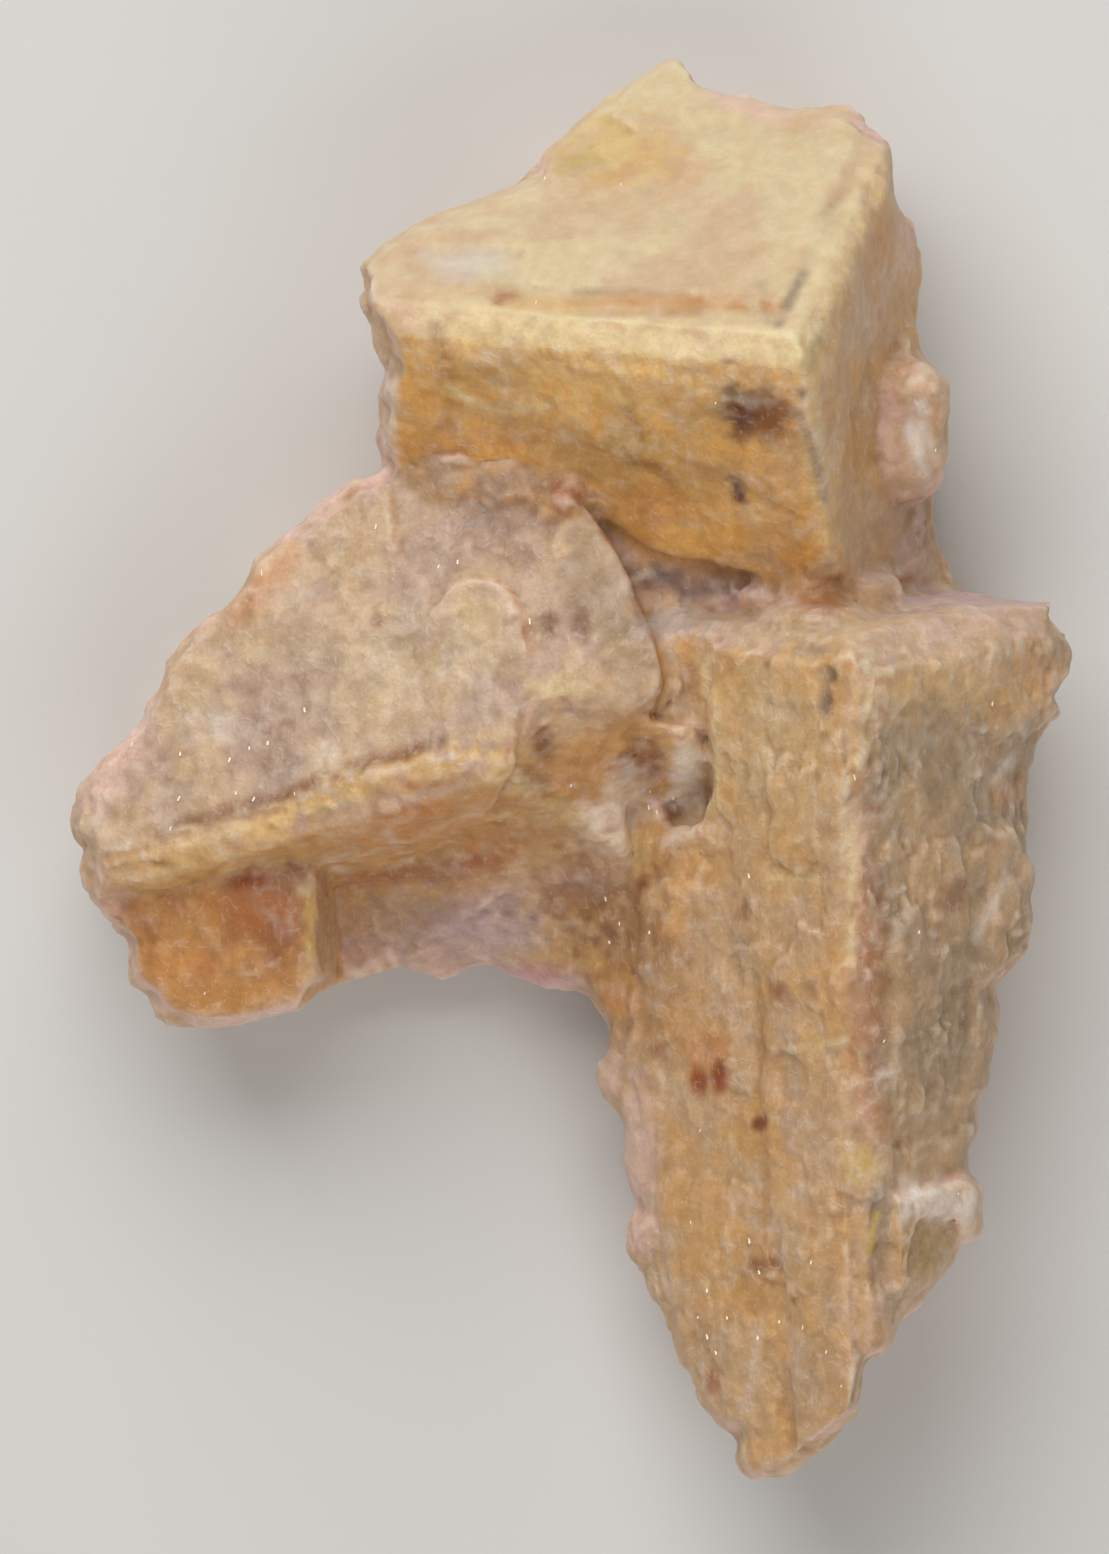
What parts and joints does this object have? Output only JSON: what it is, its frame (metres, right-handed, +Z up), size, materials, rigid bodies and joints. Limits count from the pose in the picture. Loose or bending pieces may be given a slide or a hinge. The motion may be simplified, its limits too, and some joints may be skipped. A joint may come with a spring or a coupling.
{
  "type": "fluorite specimen",
  "caption": "Intergrown honey fluorite cubes on a flat broken base, a free-standing mineral specimen that lies with its crystal faces up.",
  "frame": {"origin": "centre of the bounding box at the flat broken base", "axes": "+Y along the specimen's length, from the lower cube's tip to the upper cube, +X to the picture's right, +Z up from the base through the crystal faces"},
  "size_m": [0.045, 0.064, 0.023],
  "materials": {
    "fluorite": "waxy, cloudy translucent"
  },
  "bodies": {
    "root": {"crystal_cluster": "fluorite"}
  },
  "joints": []
}
